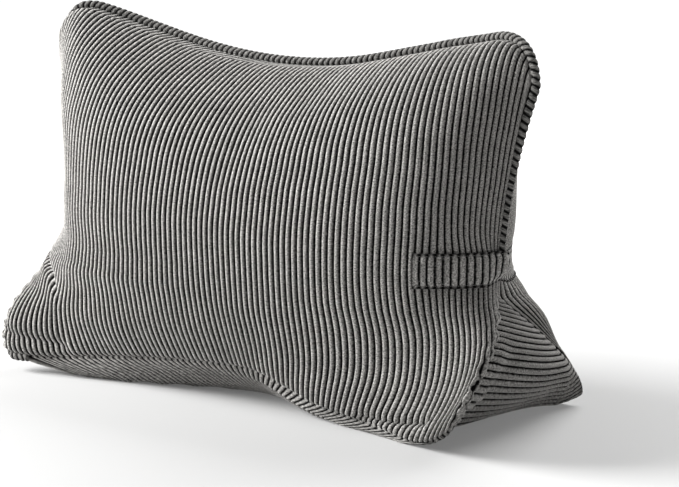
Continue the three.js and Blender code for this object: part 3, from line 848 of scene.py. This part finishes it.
rows = np.linspace(-STRAP_WIDTH / 2, STRAP_WIDTH / 2, STRAP_LINES)
runs = [strap_run(row) for row in rows]
middle_run = runs[STRAP_LINES // 2][0]
run_lengths = np.append(0, np.cumsum(np.linalg.norm(np.diff(middle_run, axis=0), axis=1)))
strap_length = run_lengths[-1]
strap_ribs = round(strap_length / RIB_PITCH)


def strap_point(length, across, height):
    """Point of the strap at a length along it, a place across it and a height above its inner face."""
    length, across, height = np.broadcast_arrays(length, across, height)
    station = np.interp(length, run_lengths, np.arange(len(run_lengths)))
    first = np.clip(np.floor(station).astype(int), 0, len(run_lengths) - 2)
    share = (station - first)[..., None]
    row = np.interp(across, rows, np.arange(len(rows)))
    low = np.clip(np.floor(row).astype(int), 0, len(rows) - 2)
    part = (row - low)[..., None]
    both = []
    for which in (0, 1):
        grid = np.array([run[which] for run in runs])
        lower = grid[low, first] * (1 - share) + grid[low, first + 1] * share
        upper = grid[low + 1, first] * (1 - share) + grid[low + 1, first + 1] * share
        both.append(lower * (1 - part) + upper * part)
    normal = both[1] / np.linalg.norm(both[1], axis=-1, keepdims=True)
    return both[0] + height[..., None] * normal


BOX_MARGIN = 0.0026
BOX_END = STRAP_WIDTH - BOX_MARGIN
half_box = STRAP_WIDTH / 2 - BOX_MARGIN
box_corners = [(BOX_MARGIN, -half_box), (BOX_END, -half_box), (BOX_END, half_box), (BOX_MARGIN, half_box)]
stitch_lines = []
for end, inward in ((0, 1), (strap_length, -1)):
    corners = [(end + inward * s, w) for s, w in box_corners]
    stitch_lines += [(corners[k], corners[(k + 1) % 4]) for k in range(4)]
    stitch_lines += [(corners[0], corners[2]), (corners[1], corners[3])]
for edge in (-half_box, half_box):
    stitch_lines.append(((BOX_END, edge), (strap_length - BOX_END, edge)))


def sewn_depth(length, across, width=0.0016):
    """How far the stitches draw the strap down, from 0 to 1."""
    depth = np.zeros(np.broadcast(length, across).shape)
    for (s0, w0), (s1, w1) in stitch_lines:
        run = np.array([s1 - s0, w1 - w0])
        share = np.clip(((length - s0) * run[0] + (across - w0) * run[1]) / (run @ run), 0, 1)
        away = np.hypot(length - s0 - share * run[0], across - w0 - share * run[1])
        depth = np.maximum(depth, mound(away, 0, width))
    return depth


def strap_top(length, across):
    """Height of the strap's outer face above its inner face."""
    pile = STRAP_RELIEF / RIB_RELIEF * rib_height(length / strap_length * strap_ribs)
    return STRAP_THICKNESS + pile - STITCH_DRAW * sewn_depth(length, across)


def flattened(wave, power):
    """A wave from -1 to 1 pushed out toward both of its limits."""
    return np.sign(wave) * np.abs(wave) ** power


strap_counts = rib_stations(strap_ribs)
strap_places = (strap_counts / strap_ribs * strap_length)[:, None]
turns = (np.arange(SECTION_POINTS) + 0.5) * 2 * np.pi / SECTION_POINTS
round_across = flattened(np.cos(turns), ACROSS_ROUND) * STRAP_WIDTH / 2
round_height = (1 + flattened(np.sin(turns), HEIGHT_ROUND)) / 2
ring_heights = round_height * strap_top(strap_places, round_across[None])
ring_points = strap_point(strap_places, round_across[None], ring_heights)
ring_ids = np.arange(ring_points[..., 0].size).reshape(ring_points.shape[:2])
wrapped = np.roll(ring_ids, -1, axis=1)
strap_faces = np.stack([ring_ids[:-1], ring_ids[1:], wrapped[1:], wrapped[:-1]], -1).reshape(-1, 4).tolist()
strap_faces += [ring_ids[0].tolist(), ring_ids[-1, ::-1].tolist()]
handle = mesh_object("handle", ring_points.reshape(-1, 3), strap_faces)
# Painted shadow along the strap's long edges: a strongly low painted shading value spreads the painted groove
# shade over them.
edge_closed = PAINTED_SHADING_STRAP - EDGE_SHADOW_STRENGTH * smooth_step(np.abs(round_across), *EDGE_SHADOW_RUN)
store_values(
    handle,
    rib=np.broadcast_to(strap_counts[:, None], ring_ids.shape),
    along=np.broadcast_to(round_across, ring_ids.shape),
    closed=np.broadcast_to(edge_closed, ring_ids.shape),
)
handle.data.materials.append(corduroy("grey corduroy trim", STRAP_COLOUR))
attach(handle, "root")
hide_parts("handle")

# Strap stitches: grey sewing thread that holds the boxed ends and the long edges of the strap down.
# Each stitch is a short rounded length of thread lying in the line that it draws down.
STITCH_PITCH = 0.0028
STITCH_LENGTH = 0.0021
STITCH_WIDTH = 0.0007
THREAD_STEP = 0.001
THREAD_HEIGHT = 0.0001
THREAD_DARK = (0.05, 0.049, 0.047, 1)
THREAD_PALE = (0.14, 0.137, 0.132, 1)
thread_points = []
thread_edges = []
for (s0, w0), (s1, w1) in stitch_lines:
    share = np.linspace(0, 1, max(2, round(math.hypot(s1 - s0, w1 - w0) / THREAD_STEP)))
    s = s0 + (s1 - s0) * share
    w = w0 + (w1 - w0) * share
    start = len(thread_points)
    thread_points += strap_point(s, w, strap_top(s, w) + THREAD_HEIGHT).tolist()
    thread_edges += [(k, k + 1) for k in range(start, len(thread_points) - 1)]
stitches = mesh_object("strap_stitches", np.array(thread_points), [], thread_edges)

thread_look, shader, node = new_material("grey thread")
twist = node("ShaderNodeTexNoise", {"Scale": 2500}).outputs["Fac"]
tint = node("ShaderNodeValToRGB", {"Fac": twist})
tint.color_ramp.elements[0].color = THREAD_DARK
tint.color_ramp.elements[1].color = THREAD_PALE
set_inputs(shader, {"Base Color": tint.outputs["Color"], "Roughness": 0.7, "Sheen Weight": 0.3})

sewing, node, given = node_tree("row of stitches", ("Pitch", "Length", "Width"))
line = node("GeometryNodeMeshToCurve", {"Mesh": given["Geometry"]}).outputs["Curve"]
line = node("GeometryNodeResampleCurve", {"Curve": line, "Length": given["Pitch"]}, mode="LENGTH")
ball = node("GeometryNodeMeshUVSphere", {"Segments": 8, "Rings": 6, "Radius": 0.5}).outputs["Mesh"]
shape = node("ShaderNodeCombineXYZ", {"X": given["Length"], "Y": given["Width"], "Z": given["Width"]})
tangent = node("GeometryNodeInputTangent").outputs["Tangent"]
turned = node("FunctionNodeAlignRotationToVector", {"Vector": tangent}, axis="X").outputs["Rotation"]
laid = node("GeometryNodeInstanceOnPoints", {"Points": line.outputs["Curve"], "Instance": ball,
                                             "Rotation": turned, "Scale": shape.outputs["Vector"]})
close_tree(node, laid.outputs["Instances"], thread_look)
bake_tree(stitches, sewing, {"Pitch": STITCH_PITCH, "Length": STITCH_LENGTH, "Width": STITCH_WIDTH})
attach(stitches, "root")

# Studio: a white floor that glows brighter far from a spot at the left front, so it runs into a white horizon
# on every side, a key light from the front left, one from behind and a weak fill from the right.
# The camera stands to the right of the front.
FLOOR_RADIUS = 9.0
FLOOR_SIDES = 64
FLOOR_COLOUR = (0.38, 0.38, 0.378, 1)
GLOW_CENTRE = (-0.45, -0.35, 0)
GLOW_NEAR = 0.11
GLOW_START = 0.5
GLOW_FULL = 2.4
WHITE = (1, 1, 1, 1)
turn = np.arange(FLOOR_SIDES) * 2 * np.pi / FLOOR_SIDES
rim = FLOOR_RADIUS * np.stack([np.cos(turn), np.sin(turn), 0 * turn], -1)
floor = mesh_object("floor", rim, [list(range(FLOOR_SIDES))])
paper, shader, node = new_material("white paper")
spot = node("ShaderNodeTexCoord").outputs["Object"]
away = node("ShaderNodeVectorMath", {0: spot, 1: GLOW_CENTRE}, operation="DISTANCE").outputs["Value"]
glow = node("ShaderNodeMapRange", {"Value": away, "From Min": GLOW_START, "From Max": GLOW_FULL,
                                   "To Min": GLOW_NEAR, "To Max": 1.0}, interpolation_type="SMOOTHSTEP")
set_inputs(shader, {
    "Base Color": FLOOR_COLOUR,
    "Roughness": 0.9,
    "Specular IOR Level": 0.1,
    "Emission Color": WHITE,
    "Emission Strength": glow.outputs["Result"],
})
floor.data.materials.append(paper)

HORIZON_TOP = 0.12
HORIZON_FADE = 0.32
ROOM_LIGHT = 0.03
world = bpy.data.worlds.new("white room")
bpy.context.scene.world = world
world.use_nodes = True
node = node_maker(world.node_tree)
bearing = node("ShaderNodeTexCoord").outputs["Generated"]
height = node("ShaderNodeSeparateXYZ", {"Vector": bearing}).outputs["Z"]
fade = node("ShaderNodeMapRange", {"Value": height, "From Min": HORIZON_TOP, "From Max": HORIZON_FADE,
                                   "To Min": 1.0, "To Max": ROOM_LIGHT}, interpolation_type="SMOOTHSTEP")
set_inputs(world.node_tree.nodes["Background"], {"Color": WHITE, "Strength": fade.outputs["Result"]})

LIGHT_AIM = np.array([0, 0, 0.15])


def direction(side, rise):
    """Unit vector at a bearing to the right of the front and a rise above the floor, in degrees."""
    a = math.radians(side)
    e = math.radians(rise)
    return np.array([math.sin(a) * math.cos(e), -math.cos(a) * math.cos(e), math.sin(e)])


def set_up(made, station, aim):
    """Puts a light or a camera at a station, facing an aim."""
    made.location = station
    made.rotation_mode = "QUATERNION"
    made.rotation_quaternion = Vector(aim - station).to_track_quat("-Z", "Y")
    bpy.context.scene.collection.objects.link(made)


def soft_box(name, side, rise, distance, size, power):
    """Square area light aimed at the pillow's middle."""
    lamp = bpy.data.lights.new(name, "AREA")
    lamp.size = size
    lamp.energy = power
    set_up(bpy.data.objects.new(name, lamp), LIGHT_AIM + direction(side, rise) * distance, LIGHT_AIM)


soft_box("key", side=-64, rise=25, distance=2.6, size=1.5, power=262)
soft_box("back", side=174, rise=48, distance=2.7, size=2.2, power=108)
soft_box("fill", side=60, rise=50, distance=2.6, size=2.4, power=4)

VIEW_SIDE = 38.22
VIEW_RISE = 8.9
VIEW_DISTANCE = 1.981
VIEW_POINT = np.array([0.0, 0.041, 0.165])
AIM_RIGHT = 0.0196
AIM_DOWN = 0.0255
LENS = 107.4
SENSOR_WIDTH = 36
toward = direction(VIEW_SIDE, VIEW_RISE)
camera_right = direction(VIEW_SIDE + 90, 0)
camera_up = np.cross(toward, camera_right)
camera = bpy.data.objects.new("camera", bpy.data.cameras.new("camera"))
camera.data.lens = LENS
camera.data.sensor_width = SENSOR_WIDTH
aim = VIEW_POINT + camera_right * AIM_RIGHT - camera_up * AIM_DOWN
set_up(camera, VIEW_POINT + toward * VIEW_DISTANCE, aim)
bpy.context.scene.camera = camera
bpy.context.scene.view_settings.view_transform = "Standard"
